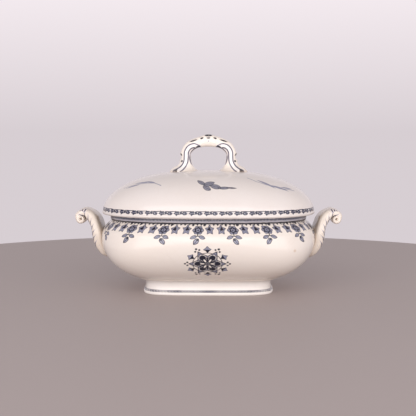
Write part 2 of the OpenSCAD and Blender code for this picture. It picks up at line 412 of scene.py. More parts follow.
# %% Lid sections
def dome_station(angle, thickness):
    out = math.cos(angle) ** (2 / DOME_SHOULDER)
    up = math.sin(angle) ** (2 / DOME_CROWN)
    half_x = max(POLE, (LID_X - EDGE_STEP - thickness) * out)
    half_y = max(POLE, (LID_Y - EDGE_STEP - thickness) * out)
    return half_x, half_y, DOME_Z + (DOME_RISE - thickness) * up, BELLY_SQUARENESS


def flange_station(inset, z):
    return FLANGE_X - inset, FLANGE_Y - inset, z, BELLY_SQUARENESS


# %% [markdown]
# The rings start at the crown, go down over the dome and round the rolled edge, then under
# the seat, round the flange and up inside to the vault. The dome's rings lie closest
# together at its edge, where it curves most.

# %% Lid rings
lid_stations = [dome_station(math.pi / 2 * t**1.15, 0) for t in steps_between(0, 1, 44)]
lid_stations.reverse()
for angle in steps_between(math.pi / 4, -math.pi / 2, 10):
    inset = EDGE * (1 - math.cos(angle))
    z = SEAT_Z + EDGE + EDGE * math.sin(angle)
    lid_stations.append((LID_X - inset, LID_Y - inset, z, BELLY_SQUARENESS))
lid_rim = len(lid_stations) - 1
lid_stations.append(flange_station(-0.6, SEAT_Z))
lid_stations.append(flange_station(0, SEAT_Z - 0.6))
lid_stations.append(flange_station(0, lid_low.z + FLANGE_TIP))
for angle in steps_between(0, math.pi, 8):
    inset = FLANGE_WALL / 2 * (1 - math.cos(angle))
    z = lid_low.z + FLANGE_TIP - FLANGE_TIP * math.sin(angle)
    lid_stations.append(flange_station(inset, z))
shelf_z = SEAT_Z + LID_WALL
lid_stations.append(flange_station(FLANGE_WALL, shelf_z - 2))
lid_stations.append(flange_station(FLANGE_WALL - 0.8, shelf_z - 0.6))
lid_stations.append(flange_station(FLANGE_WALL - 2.5, shelf_z))
lid_stations += [
    dome_station(math.pi / 2 * t, LID_WALL) for t in steps_between(VAULT_START, 1, 24)
]


# %% Lid skin
lid_maps, lid_length = shell_maps(
    lid_stations, (LID_X, LID_Y, BELLY_SQUARENESS), [s[2] for s in lid_stations], lid_rim
)
lid_shell = skin("lid_shell", [plan_ring(s, AROUND) for s in lid_stations], lid_maps)
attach(lid_shell, "lid_body")
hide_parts("lid")


# %% [markdown]
# ## Bent bars
# Both kinds of handle are bars bent in one upright plane, thicker here and wider there.
# A few stations give the path, the half thickness and the half width. A smooth curve fills
# in between them, and a rounded section stands square to the path at every step.

# %% Smooth curve
def smooth_curve(stations, steps):
    """Catmull-Rom curve through the stations, with a number of steps in each span."""
    padded = [
        tuple(2 * a - b for a, b in zip(stations[0], stations[1])),
        *stations,
        tuple(2 * a - b for a, b in zip(stations[-1], stations[-2])),
    ]
    curve = []
    for a, b, c, d in zip(padded, padded[1:], padded[2:], padded[3:]):
        for n in range(steps):
            t = n / steps
            curve.append(
                tuple(
                    0.5
                    * (
                        2 * q
                        + (r - p) * t
                        + (2 * p - 5 * q + 4 * r - s) * t * t
                        + (3 * q - p - 3 * r + s) * t**3
                    )
                    for p, q, r, s in zip(a, b, c, d)
                )
            )
    curve.append(tuple(stations[-1]))
    return curve


# %% Bent bars
def closed_ends(stations):
    """Adds a point at each end, so that the bar's skin closes there."""
    first, last = stations[0], stations[-1]
    return [(*first[:2], 0, 0), *stations, (*last[:2], 0, 0)]


def bar_point(thick, wide, squareness, angle):
    """A point of a bar's section. The power keeps the points close at the corners."""
    power = 2 / squareness
    across, up = math.cos(angle), math.sin(angle)
    return (
        math.copysign(thick * abs(across) ** power, across),
        math.copysign(wide * abs(up) ** power, up),
    )


def bent_bar(name, stations, squareness, around, press=None):
    """A bar through stations (x, z, half thickness, half width), bent in the XZ plane."""
    rings, corners = [], []
    for n, (x, z, thick, wide) in enumerate(stations):
        ahead = stations[min(n + 1, len(stations) - 1)]
        behind = stations[max(n - 1, 0)]
        along = Vector((ahead[0] - behind[0], ahead[1] - behind[1])).normalized()
        thick, wide = max(thick, POLE), max(wide, POLE)
        section = [
            bar_point(thick, wide, squareness, math.tau * k / around) for k in range(around)
        ]
        rings.append([(x + along.y * p, q, z - along.x * p) for p, q in section])
        half_turn = lengths_along(section[: around // 2 + 1])
        corners.append([s - half_turn[around // 8] for s in half_turn])
    path = lengths_along([(s[0], s[1]) for s in stations])

    def maps_at(i, k, low_ring, middle):
        side = k if k <= around // 2 else around - k
        return (path[i], corners[i][side]), (k / around, path[i] / path[-1])

    return skin(name, rings, maps_at, press), path


# %% [markdown]
# ## The side handles
# A side handle is a strap luted up the bowl's end wall. At the shoulder it leans out, turns
# over, and curls under into a scroll, which gives the fingers something to hook on. The
# outer face is pressed with slanting flutes. The curl is a spiral that closes at its eye:
# its inner turns get thinner and stand a little proud at the sides, like a snail's shell.

# %% Side handle sizes
_, handle_high = [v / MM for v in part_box("handle_right")]
ROLL_RADIUS = 7.0
ROLL_WIDE = 18.5
ROOT_WIDE = handle_high.y
ROLL_X = handle_high.x - ROLL_RADIUS - 1.0
HANDLE_TOP = RIM_Z + 6.5
ROLL_Z = HANDLE_TOP - 2 * ROLL_RADIUS
TIP_Z = RIM_Z - 54.0
SHOULDER_Z = LIP_Z - 10.0
LUTE_SINK = 3.1
REACH = handle_high.x - BELLY_X


# %% The bowl's wall under the strap
def bowl_wall_x(z):
    """Half length of the bowl's outside at a height."""
    if z >= BELLY_Z:
        return upper_wall((z - BELLY_Z) / (LIP_Z - BELLY_Z), 0)[0]
    down = (BELLY_Z - z) / (BELLY_Z - FOOT_TOP) * math.cos(WALL_START)
    return lower_wall(math.acos(down), 0, 0)[0]


# %% [markdown]
# The strap's lower part sinks a few millimetres into the wall that it is luted to, and the
# rest stands proud of it. Then the shoulder leads over to the scroll.

# %% Strap
strap = []
for share, proud, wide in (
    (-0.075, 0.5, 0.05),
    (-0.06, 3.0, 0.36),
    (0.0, 5.6, 0.62),
    (0.14, 9.0, 0.82),
    (0.45, 11.4, 0.96),
    (0.74, 12.6, 1.0),
):
    z = TIP_Z + share * (SHOULDER_Z - TIP_Z)
    thick = (proud + LUTE_SINK) / 2
    strap.append((bowl_wall_x(z) + (proud - LUTE_SINK) / 2, z, thick, ROOT_WIDE * wide))
strap += [
    (BELLY_X + REACH * 0.19, SHOULDER_Z, 7.0, ROOT_WIDE * 0.98),
    (BELLY_X + REACH * 0.27, SHOULDER_Z + 7.2, 7.3, ROOT_WIDE * 0.9),
    (BELLY_X + REACH * 0.38, SHOULDER_Z + 12.5, 7.1, ROOT_WIDE * 0.79),
    (BELLY_X + REACH * 0.51, HANDLE_TOP - 7.9, 6.4, ROOT_WIDE * 0.7),
    (BELLY_X + REACH * 0.645, HANDLE_TOP - 5.9, 5.6, ROLL_WIDE * 1.05),
]

# %% Scroll
SCROLL_START = 62
SCROLL_TURN = 512
EYE_SPREAD = 1.4
# Each step of the scroll: angle about its eye, reach of its outer face, half thickness.
for turn, reach, thick in (
    (SCROLL_START, 10.2, 4.9),
    (28, 8.0, 4.3),
    (-8, 7.0, 3.9),
    (-45, 7.0, 3.6),
    (-82, 7.0, 3.3),
    (-120, 6.8, 3.0),
    (-160, 6.2, 2.6),
    (-205, 5.3, 2.2),
    (-250, 4.5, 1.9),
    (-300, 3.7, 1.6),
    (-350, 2.9, 1.3),
    (-400, 2.1, 1.0),
    (SCROLL_START - SCROLL_TURN, 1.3, 0.5),
):
    angle = math.radians(turn)
    middle = reach - thick
    wide = ROLL_WIDE + (SCROLL_START - turn) / SCROLL_TURN * EYE_SPREAD
    strap.append(
        (ROLL_X + middle * math.cos(angle), ROLL_Z + middle * math.sin(angle), thick, wide)
    )
strap_curve = closed_ends(smooth_curve(strap, 7))
strap_path = lengths_along([(s[0], s[1]) for s in strap_curve])
print("length of a side handle along its strap:", round(strap_path[-1], 1), "mm")


# %% Flutes
STRAP_AROUND = 72
FLUTE_PITCH = 8.0
FLUTE_DEPTH = 0.7
FLUTE_SLANT = 0.45
FIRST_FLUTED = 18
LAST_FLUTED = 79
flutes_from = strap_path[FIRST_FLUTED]
flutes_to = strap_path[LAST_FLUTED]


def press_flutes(point, i, k):
    """Sinks slanting grooves in the outer face, deepest halfway along and at its middle."""
    outward = math.cos(math.tau * k / STRAP_AROUND)
    along = (strap_path[i] - flutes_from) / (flutes_to - flutes_from)
    if outward <= 0 or not 0 < along < 1:
        return point
    slant = strap_path[i] + FLUTE_SLANT * abs(point.y)
    wave = 0.5 - 0.5 * math.cos(math.tau * slant / FLUTE_PITCH)
    fade = min(1, max(0, outward - 0.3) * 3) * math.sin(math.pi * along) ** 0.5
    centre = Vector((strap_curve[i][0], point.y, strap_curve[i][1]))
    return point + (centre - point).normalized() * FLUTE_DEPTH * wave**3 * fade


# %% [markdown]
# Both side handles come out of one mould. The left one is a mirrored copy of the right one,
# and mirroring turns a mesh inside out, so its faces are pointed outwards again.

# %% Both side handles
handle_right, _ = bent_bar("handle_right_scroll", strap_curve, 3.4, STRAP_AROUND, press_flutes)
left_mesh = handle_right.data.copy()
bm = bmesh.new()
bm.from_mesh(left_mesh)
bmesh.ops.scale(bm, vec=(-1, 1, 1), verts=bm.verts)
bmesh.ops.recalc_face_normals(bm, faces=bm.faces)
bm.to_mesh(left_mesh)
bm.free()
handle_left = bpy.data.objects.new("handle_left_scroll", left_mesh)
bpy.context.scene.collection.objects.link(handle_left)
for piece, node in ((handle_right, "handle_right"), (handle_left, "handle_left")):
    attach(piece, "bowl_body")
    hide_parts(node)


# %% [markdown]
# ## The arch handle
# The arch is moulded in two halves, so its front and back are alike. Each leg carries
# a raised S-shaped rib, from a tip under the bar, over the shoulder and down to the toe,
# and two small leaf tips on its outer side. The bar's skin is dense: the ribs are raised by
# moving its points out along Y where they lie near the rib's line.

# %% Arch sizes
ARCH_RISE = 47.0
LEG_X = 29.25
ARCH_FOOT_X = LEG_X + 1.2
ARCH_HALF = 51.0
ARCH_FOOT_HALF = ARCH_HALF - ARCH_FOOT_X
arch_low, arch_high = [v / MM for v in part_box("lid_handle")]
ARCH_FOOT_WIDE = arch_high.y
LEG_THICK = 6.25
LEG_WIDE = 7.0
BAR_THICK = 8.4
BAR_WIDE = 8.5
BAR_Z = CROWN_Z + ARCH_RISE - BAR_THICK


# %% Arch path
half_arch = [
    (ARCH_FOOT_X, arch_low.z, ARCH_FOOT_HALF * 0.985, ARCH_FOOT_WIDE * 0.98),
    (ARCH_FOOT_X, CROWN_Z - 1.0, ARCH_FOOT_HALF * 0.97, ARCH_FOOT_WIDE * 0.94),
    (ARCH_FOOT_X - 0.15, CROWN_Z + 1.8, ARCH_FOOT_HALF * 0.80, ARCH_FOOT_WIDE * 0.73),
    (ARCH_FOOT_X - 0.6, CROWN_Z + 5.5, ARCH_FOOT_HALF * 0.53, ARCH_FOOT_WIDE * 0.53),
    (LEG_X, CROWN_Z + 11.5, LEG_THICK * 1.15, LEG_WIDE * 1.08),
    (LEG_X, CROWN_Z + ARCH_RISE * 0.38, LEG_THICK, LEG_WIDE),
    (LEG_X, CROWN_Z + ARCH_RISE * 0.5, LEG_THICK * 1.06, LEG_WIDE),
    (LEG_X * 0.85, BAR_Z - 8.3, LEG_THICK * 1.12, LEG_WIDE * 1.05),
    (LEG_X * 0.6, BAR_Z - 3.6, LEG_THICK * 1.07, BAR_WIDE * 0.93),
    (LEG_X * 0.28, BAR_Z - 1, BAR_THICK * 0.86, BAR_WIDE * 0.96),
    (0, BAR_Z + 0.35, BAR_THICK - 0.35, BAR_WIDE * 0.97),
]
whole_arch = half_arch + [(-x, z, thick, wide) for x, z, thick, wide in half_arch[-2::-1]]

ARCH_AROUND = 112
arch_curve = closed_ends(smooth_curve(whole_arch, 12))


# %% Rib line
# The rib's middle line on one leg, as (distance from the middle, height above the crown).
RIB_LINE = smooth_curve(
    [
        (13.0, 30.0),
        (18.5, 32.2),
        (24.5, 30.2),
        (28.4, 24.5),
        (28.9, 17.5),
        (29.7, 10.8),
        (33.2, 4.6),
        (38.6, 0.4),
        (43.0, -1.6),
    ],
    5,
)
RIB_HALF = 3.6
RIB_RISE = 1.1


def distance_to_line(x, z, line):
    best = 1e9
    for (ax, az), (bx, bz) in zip(line, line[1:]):
        dx, dz = bx - ax, bz - az
        t = min(1, max(0, ((x - ax) * dx + (z - az) * dz) / (dx * dx + dz * dz)))
        best = min(best, math.hypot(x - ax - t * dx, z - az - t * dz))
    return best


# %% Ribs and leaf tips
LEAF_HEIGHTS = (21.0, 12.5)
LEAF_HIGH = 1.9
LEAF_WIDE = 3.4
LEAF_RISE = 1.4


def press_ribs(point, i, k):
    """Raises the ribs on the two faces, and two small leaf tips on each leg's outer side."""
    x, h = abs(point.x), point.z - CROWN_Z
    facing = abs(math.sin(math.tau * k / ARCH_AROUND))
    middle = Vector((arch_curve[i][0], 0, arch_curve[i][1]))
    if x > abs(middle.x) and x > LEG_X - 8:
        away = min(abs(h - leaf) for leaf in LEAF_HEIGHTS)
        tip = math.exp(-((away / LEAF_HIGH) ** 2) - (point.y / LEAF_WIDE) ** 2)
        side = 1 if point.x > 0 else -1
        point = point + Vector((side * LEAF_RISE * tip, 0, 0.8 * LEAF_RISE * tip))
    away = distance_to_line(x, h, RIB_LINE)
    if away >= RIB_HALF or facing < 0.1:
        return point
    swell = math.cos(math.pi / 2 * away / RIB_HALF) ** 0.8
    side = 1 if point.y > 0 else -1
    return point + Vector((0, side * RIB_RISE * swell * min(1, facing * 1.6), 0))


# %% Arch skin
arch_bar, arch_path = bent_bar("arch_handle", arch_curve, 2.6, ARCH_AROUND, press_ribs)
print("length of the arch along its bar:", round(arch_path[-1], 1), "mm")


# %% [markdown]
# The brush map holds each point's distance in mm from the rib and from the line that is
# painted round the opening, so the brush follows both without sums in the material.

# %% Brush map
OPENING_LINE = smooth_curve(
    [
        (12.6, 30.6),
        (17.2, 28.7),
        (21.7, 24.6),
        (23.9, 19.0),
        (23.6, 13.0),
        (20.8, 7.8),
        (13.8, 3.6),
    ],
    5,
)
FAR = 20
brush_map = arch_bar.data.uv_layers.new(name="Brush")
for loop in arch_bar.data.loops:
    spot = arch_bar.data.vertices[loop.vertex_index].co / MM
    x, h = abs(spot.x), spot.z - CROWN_Z
    brush_map.data[loop.index].uv = (
        min(FAR, distance_to_line(x, h, RIB_LINE)),
        min(FAR, distance_to_line(x, h, OPENING_LINE)),
    )
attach(arch_bar, "lid_body")
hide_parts("lid_handle")


# %% [markdown]
# ## Sums in a material
# The printed pattern is drawn by the material, as sums on the print map. Writing every
# Math node by hand would hide the drawing, so a Field stands for a node's output and
# the usual signs + - * / add the nodes. A shape is a distance in millimetres, negative
# inside: `smallest` joins shapes, `largest` keeps what they share, and `ink` turns a
# distance into a soft-edged stain of colour.

# %% Fields
class Field:
    """A number that varies over a surface, held as the output of a shader node."""

    def __init__(self, socket):
        self.socket = socket

    def __add__(self, other):
        return sum_of("ADD", self, other)

    def __radd__(self, other):
        return sum_of("ADD", other, self)

    def __sub__(self, other):
        return sum_of("SUBTRACT", self, other)

    def __rsub__(self, other):
        return sum_of("SUBTRACT", other, self)

    def __mul__(self, other):
        return sum_of("MULTIPLY", self, other)

    def __rmul__(self, other):
        return sum_of("MULTIPLY", other, self)

    def __truediv__(self, other):
        return sum_of("DIVIDE", self, other)


def sum_of(operation, *values, clamp=False):
    tree = next(v.socket.id_data for v in values if isinstance(v, Field))
    node = tree.nodes.new("ShaderNodeMath")
    node.operation = operation
    node.use_clamp = clamp
    for socket, value in zip(node.inputs, values):
        if isinstance(value, Field):
            tree.links.new(value.socket, socket)
        else:
            socket.default_value = value
    return Field(node.outputs[0])


# %% Joining fields
def folded(operation, values):
    result = values[0]
    for value in values[1:]:
        result = sum_of(operation, result, value)
    return result


def smallest(*values):
    return folded("MINIMUM", values)


def largest(*values):
    return folded("MAXIMUM", values)


def size_of(value):
    return sum_of("ABSOLUTE", value)


def length_of(x, y):
    return sum_of("SQRT", x * x + y * y)


def repeat(value, pitch):
    """Folds a line into repeats of one pitch, each counted from its own middle."""
    return sum_of("FLOORED_MODULO", value + pitch / 2, pitch) - pitch / 2


def boosted(value, gain, shift):
    """A value times a gain plus a shift, kept between 0 and 1."""
    return sum_of("MULTIPLY_ADD", value, gain, shift, clamp=True)


def ramp(value, start, end):
    """Goes from 0 to 1 while a value goes from start to end."""
    return boosted(value, 1 / (end - start), -start / (end - start))


def ink(distance, blur=0.3):
    return boosted(distance, -1 / blur, 0.5)


# %% [markdown]
# ## Shapes for the engraver
# The pattern's flowers, leaves and buds come down to a few shapes: a tilted oval, a rosette
# whose edge waves round a circle, a leaf with sharp lobes, a plain pointed leaf, and
# a stroke between two points.

# %% Shapes
def oval(x, y, at, half, tilt=0.0):
    across, up = x - at[0], y - at[1]
    if tilt:
        c, s = math.cos(math.radians(tilt)), math.sin(math.radians(tilt))
        across, up = across * c + up * s, up * c - across * s
    return (length_of(across / half[0], up / half[1]) - 1) * min(half)


def waved(x, y, radius, lobes, depth, turn=0.0):
    angle = sum_of("ARCTAN2", y, x)
    wave = sum_of("COSINE", angle * lobes + math.radians(turn) * -lobes)
    return length_of(x, y) - (wave * (radius * depth) + radius)


def pointed(x, y, radius, lobes, depth, turn=0.0):
    """A leaf with sharp lobes and round notches; its first lobe points along the turn."""
    angle = sum_of("ARCTAN2", y, x) * (lobes / 2) + math.radians(turn) * -lobes / 2
    wave = size_of(sum_of("SINE", angle)) * -2.0 + 1.0
    return length_of(x, y) - (wave * (radius * depth) + radius)


def stroke(x, y, start, end, width):
    dx, dy = end[0] - start[0], end[1] - start[1]
    px, py = x - start[0], y - start[1]
    t = sum_of("DIVIDE", px * dx + py * dy, dx * dx + dy * dy, clamp=True)
    return length_of(px - t * dx, py - t * dy) - width / 2


def leaf_shape(x, y, at, size, tilt):
    """A pointed leaf: where two circles overlap, drawn at a tilt."""
    c, s = math.cos(math.radians(tilt)), math.sin(math.radians(tilt))
    px, py = x - at[0], y - at[1]
    along, across = px * c + py * s, size_of(py * c - px * s)
    half, wide = size
    radius = (half * half + wide * wide) / (2 * wide)
    edge = length_of(along, across + (radius - wide)) - radius
    return edge, along, across


def outline(distance, width):
    return size_of(distance) - width / 2


# %% [markdown]
# ## The glaze
# Lead-glazed earthenware is warm cream under a clear gloss. It's never one flat colour: the
# body shows a little browner where the glaze lies thin, fine brown cracks craze it, iron
# specks are scattered through it, and it's not quite even to touch. Every piece shares this
# recipe, and each adds its own print.

# %% Glaze
INK_COLOUR = (0.010, 0.011, 0.024, 1)
WASH_COLOUR = (0.225, 0.235, 0.325, 1)
CRAZE_COLOUR = (0.50, 0.36, 0.24, 1)


class Glaze:
    """A material in the making: its tree, its coordinates in mm, and its colour so far."""

    def __init__(self, name, cream, warm):
        self.material = bpy.data.materials.new(name)
        self.material.use_nodes = True
        self.tree = self.material.node_tree
        self.tree.nodes.clear()
        self.finish = self.tree.nodes.new("ShaderNodeBsdfPrincipled")
        output = self.tree.nodes.new("ShaderNodeOutputMaterial")
        self.tree.links.new(self.finish.outputs["BSDF"], output.inputs["Surface"])
        coordinates = self.tree.nodes.new("ShaderNodeTexCoord")
        self.place = coordinates.outputs["Object"]
        self.x, self.y, self.z = self.parts(self.place, 1 / MM)
        self.u, self.v = self.map_fields("Print")
        self.colour = self.mottle(cream, warm)

    def map_fields(self, name):
        node = self.tree.nodes.new("ShaderNodeUVMap")
        node.uv_map = name
        return self.parts(node.outputs["UV"], 1)[:2]

    def parts(self, socket, scale):
        split = self.tree.nodes.new("ShaderNodeSeparateXYZ")
        self.tree.links.new(socket, split.inputs[0])
        fields = [Field(out) for out in split.outputs]
        return [f * scale for f in fields] if scale != 1 else fields

    def texture(self, kind, scale):
        node = self.tree.nodes.new(kind)
        node.inputs["Scale"].default_value = scale
        self.tree.links.new(self.place, node.inputs["Vector"])
        return node

    def noise(self, scale, detail=2.0):
        node = self.texture("ShaderNodeTexNoise", scale)
        node.inputs["Detail"].default_value = detail
        return Field(node.outputs["Fac"])

    def unsteady(self, reach, scale):
        """Two small offsets in mm that wander over the surface, like an engraver's hand."""
        node = self.texture("ShaderNodeTexNoise", scale)
        node.inputs["Detail"].default_value = 1.0
        wander = self.parts(node.outputs["Color"], 1)
        return (wander[0] - 0.5) * (2 * reach), (wander[1] - 0.5) * (2 * reach)

    def mix(self, amount, first, second):
        node = self.tree.nodes.new("ShaderNodeMix")
        node.data_type = "RGBA"
        self.tree.links.new(amount.socket, node.inputs["Factor"])
        for name, colour in (("A", first), ("B", second)):
            socket = next(s for s in node.inputs if s.name == name and s.type == "RGBA")
            if isinstance(colour, tuple):
                socket.default_value = colour
            else:
                self.tree.links.new(colour, socket)
        return next(s for s in node.outputs if s.type == "RGBA")

    def mottle(self, cream, warm):
        return self.mix(boosted(self.noise(16.0, 3.0), 1.6, -0.45), cream, warm)

    def stain(self, amount, colour, strength=1.0):
        self.colour = self.mix(amount * strength, self.colour, colour)

    def craze(self, strength):
        cells = self.texture("ShaderNodeTexVoronoi", 105.0)
        cells.feature = "DISTANCE_TO_EDGE"
        crack = ink(Field(cells.outputs["Distance"]) - 0.012, 0.012)
        patches = boosted(self.noise(28.0), 3.0, -1.0)
        self.stain(crack * patches, CRAZE_COLOUR, strength)

    def speckle(self):
        spots = self.texture("ShaderNodeTexVoronoi", 60.0)
        pick = self.parts(spots.outputs["Color"], 1)[0]
        near = ink(Field(spots.outputs["Distance"]) - pick * 0.035, 0.02)
        chosen = ink(0.86 - pick, 0.02)
        self.stain(near * chosen, CRAZE_COLOUR, 0.55)

    def fire(self, piece):
        """Joins colour, sheen and the uneven surface, and puts the material on a piece."""
        self.craze(0.10)
        self.speckle()
        links, finish = self.tree.links, self.finish
        links.new(self.colour, finish.inputs["Base Color"])
        uneven = self.noise(40.0, 2.0)
        links.new((uneven * 0.10 + 0.15).socket, finish.inputs["Roughness"])
        finish.inputs["IOR"].default_value = 1.52
        finish.inputs["Coat Weight"].default_value = 0.15
        finish.inputs["Coat Roughness"].default_value = 0.08
        bump = self.tree.nodes.new("ShaderNodeBump")
        bump.inputs["Strength"].default_value = 0.35
        bump.inputs["Distance"].default_value = 0.0012
        links.new(self.noise(22.0, 4.0).socket, bump.inputs["Height"])
        links.new(bump.outputs["Normal"], finish.inputs["Normal"])
        piece.data.materials.clear()
        piece.data.materials.append(self.material)
        print(self.material.name, "has", len(self.tree.nodes), "nodes")


# %% [markdown]
# ## Print on the bowl: the band under the lip
# Round the lip runs a line of tiny teeth, a pale reed, and a dark line whose lower edge is
# cut into scallops. The scallops are circles subtracted from the dark line.

# %% Band under the lip
def whole_pitch(length, pitch):
    """The pitch nearest to a given one that fits a length a whole number of times."""
    return length / round(length / pitch)


BAND_BOTTOM, BAND_TOP = 92.5, 96.1
SCALLOP_Z = 91.6
LOWER_REED_Z, UPPER_REED_Z = 96.9, 99.0
TEETH_Z = 99.1


def print_lip(u, v):
    pitch = whole_pitch(frieze_length, 5.3)
    scallop = length_of(repeat(u, pitch), v - SCALLOP_Z) - pitch * 0.47
    band = largest(v - BAND_TOP, BAND_BOTTOM - v, 0 - scallop)
    tooth = size_of(repeat(u, whole_pitch(frieze_length, 1.9))) - 0.62
    teeth = largest(size_of(v - TEETH_Z) - 1.2, tooth)
    reed = smallest(size_of(v - UPPER_REED_Z) - 1.5, size_of(v - LOWER_REED_Z) - 0.55)
    return band, teeth, reed


# %% [markdown]
# ## Print on the bowl: the rose frieze
# One repeat is a small rose between two lobed leaves, with two leaflets and a hanging bud
# below. Folding the map at the rose's middle draws both sides at once. Every other repeat
# is turned left to right, as an engraver does to keep a border from looking stamped.

# %% Rose frieze
ROSE_COUNT = 18
ROSE_START = -11.3
ROSE_Z = 87.6


def print_frieze(u, v):
    """The dark lines, the grey fill, and the outer edge of the flowers and lobed leaves."""
    pitch = frieze_length / ROSE_COUNT
    along = u - ROSE_START
    turned = sum_of("FLOORED_MODULO", along + pitch / 2, pitch * 2)
    sign = sum_of("GREATER_THAN", turned, pitch) * -2.0 + 1.0
    s = repeat(along, pitch) * sign
    t = v - ROSE_Z
    a = size_of(s)

    rose_x, rose_y = s * 0.88, t * 1.22
    reach = length_of(rose_x, rose_y)
    rose = waved(rose_x, rose_y, 5.5, 6, 0.09, 0)
    ring = waved(rose_x, rose_y, 2.9, 6, 0.14, 30)
    turn = sum_of("ARCTAN2", rose_y, rose_x)
    between = size_of(sum_of("SINE", turn * 3 + math.pi / 2)) * reach * 0.33 - 0.22
    petal_lines = largest(between, rose, 3.0 - reach)
    inner_petals = largest(outline(reach - 4.3, 0.3), rose)

    leaf_x, leaf_y = a - 14.0, t - 0.5
    leaf = pointed(leaf_x, leaf_y, 4.6, 5, 0.25, 20)
    leaf_heart = pointed(leaf_x + 0.7, leaf_y - 0.8, 2.1, 3, 0.25, 200)
    leaf_turn = sum_of("ARCTAN2", leaf_y, leaf_x) * 2.5 - math.radians(20) * 2.5
    leaf_reach = length_of(leaf_x, leaf_y)
    leaf_veins = largest(size_of(sum_of("SINE", leaf_turn)) * leaf_reach * 0.4 - 0.14, leaf)

    leaflet, _, leaflet_across = leaf_shape(a, t, (4.8, -8.1), (4.0, 1.9), -19)
    leaflet_vein = largest(leaflet_across - 0.2, leaflet)
    bud_leaf, _, bud_across = leaf_shape(s, t, (-1.7, -13.2), (4.4, 2.5), 51)
    bud = smallest(bud_leaf, length_of(s + 0.7, t + 11.9) - 2.4)
    bud_cap = oval(s, t, (0.1, -11.0), (1.9, 1.3), 30)
    stem = stroke(s, t, (0.0, -4.4), (0.0, -7.0), 1.2)
    drop = oval(a, t, (7.2, 5.9), (1.4, 1.5))

    wash = smallest(rose, leaf, leaflet, bud)
    dark = smallest(
        outline(rose, 0.6),
        outline(ring, 1.6),
        length_of(rose_x, rose_y) - 0.9,
        petal_lines,
        inner_petals,
        outline(leaf, 0.6),
        leaf_heart,
        leaf_veins,
        outline(leaflet, 0.65),
        leaflet_vein,
        outline(bud, 0.75),
        bud_cap,
        largest(bud_across - 0.3, bud),
        stem,
        drop,
    )
    return dark, wash, smallest(rose, leaf)


# %% [markdown]
# ## Print on the bowl: the rosette
# A single rosette sits low on the front and on the back. It repeats six times round its
# middle, so the map is folded to one twelfth of a turn, where one tip of the star lies
# along the first direction and one notch along the second.

# %% Rosette
ROSETTE_V = 44.6
ROSETTE_SCALE = 0.96
ROSETTE_SQUASH = 0.86


def print_rosette(x, v):
    """The dark lines, the grey fill, and the parts left white inside it."""
    across, up = x * ROSETTE_SCALE, (v - ROSETTE_V) * (ROSETTE_SCALE / ROSETTE_SQUASH)
    reach = length_of(across, up)
    angle = size_of(repeat(sum_of("ARCTAN2", up, across), math.radians(60)))
    p = reach * sum_of("COSINE", angle)
    q = reach * sum_of("SINE", angle)
    half = math.radians(30)
    notch_p = p * math.cos(half) + q * math.sin(half)
    notch_q = size_of(p * math.sin(half) - q * math.cos(half))

    petal = smallest(oval(p, q, (11.3, 0), (4.0, 3.8)), oval(p, q, (7.0, 0), (5.4, 2.5)))
    slot = oval(p, q, (6.0, 0), (2.7, 1.15))
    star = (p - 22.0) * 0.5 + q * 0.866
    tooth = largest(notch_q - (notch_p - 2.4) * 0.20, notch_p - 10.6)
    ring = largest(outline(reach - 17.4, 0.9), 0.5 - star)
    dots = smallest(oval(p, q, (26.3, 0), (1.4, 1.4)), oval(p, q, (23.6, 2.7), (1.25, 1.25)))
    leaf_p = notch_p - 22.4
    leaf = pointed(leaf_p, notch_q, 3.7, 4, 0.25)
    leaf_dark = largest(leaf, leaf_p + 0.2)

    wash = smallest(star, leaf)
    dark = smallest(
        largest(petal, 0 - slot),
        outline(petal - 1.3, 0.3),
        outline(star, 1.1),
        outline(star + 1.8, 0.4),
        tooth,
        ring,
        dots,
        leaf_dark,
        outline(leaf, 0.55),
        reach - 1.5,
    )
    white = smallest(slot, outline(petal - 0.6, 0.7), outline(reach - 2.3, 0.9))
    return dark, wash, white


# %% [markdown]
# ## The bowl's material
# The fill is laid down first and the dark lines over it, as the engraving prints them. The
# print wanders by a fraction of a millimetre, and a fine grain breaks up its fill. The
# rosette is kept to the two long faces, and the band stops short of the roses. The glaze
# is painted a little browner towards the foot, as painted shade under the belly with a
# warmer glaze tone there, and one small tan spot sits at the front right.

# %% Bowl material
LOW_SHADE_AND_TAN = (0.66, 0.50, 0.385, 1)
SPOT_TAN = (0.60, 0.42, 0.27, 1)
SPOT_X, SPOT_Z = 107.0, 61.0
ROSETTE_REACH = 40.0

glaze = Glaze("bowl_glaze_printed", (0.850, 0.793, 0.733, 1), (0.825, 0.745, 0.668, 1))
# painted shade: the lower bowl is darkened towards the foot, together with a warmer glaze tone
glaze.stain(ramp(glaze.z, 44.0, 14.0), LOW_SHADE_AND_TAN, 0.12)
shift_u, shift_v = glaze.unsteady(0.45, 230.0)
u, v = glaze.u + shift_u, glaze.v + shift_v
band, teeth, reed = print_lip(u, v)
frieze_dark, frieze_wash, frieze_edge = print_frieze(u, v)
band = largest(band, 0.75 - frieze_edge)
rosette_dark, rosette_wash, rosette_white = print_rosette(glaze.x + shift_u, v)
grain = glaze.noise(900.0, 1.0) * 0.6 + 0.68
faces = ink(size_of(glaze.x) - ROSETTE_REACH, 1.0)
rosette_fill = ink(rosette_wash) * faces * (1 - ink(rosette_white))
wash = largest(ink(frieze_wash), rosette_fill, ink(reed, 0.5) * 0.9)
dark = largest(ink(smallest(frieze_dark, band)), ink(teeth), ink(rosette_dark) * faces)
glaze.stain(wash * grain, WASH_COLOUR, 0.95)
glaze.stain(dark, INK_COLOUR, 0.98)
spot = largest(length_of(glaze.x - SPOT_X, glaze.z - SPOT_Z) - 1.6, glaze.y)
glaze.stain(ink(spot, 1.4), SPOT_TAN, 0.5)
glaze.fire(bowl_shell)


# %% [markdown]
# ## Print on the lid
# A wreath runs round the lid above its rolled edge: solid leaves take turns with small
# open curls under one thin line. Loose sprigs lie on the dome, and those are drawn from
# above, in plan, because the dome is nearly flat there.

# %% Lid wreath
WREATH_Z = 108.5
WREATH_LINE_Z = 110.5


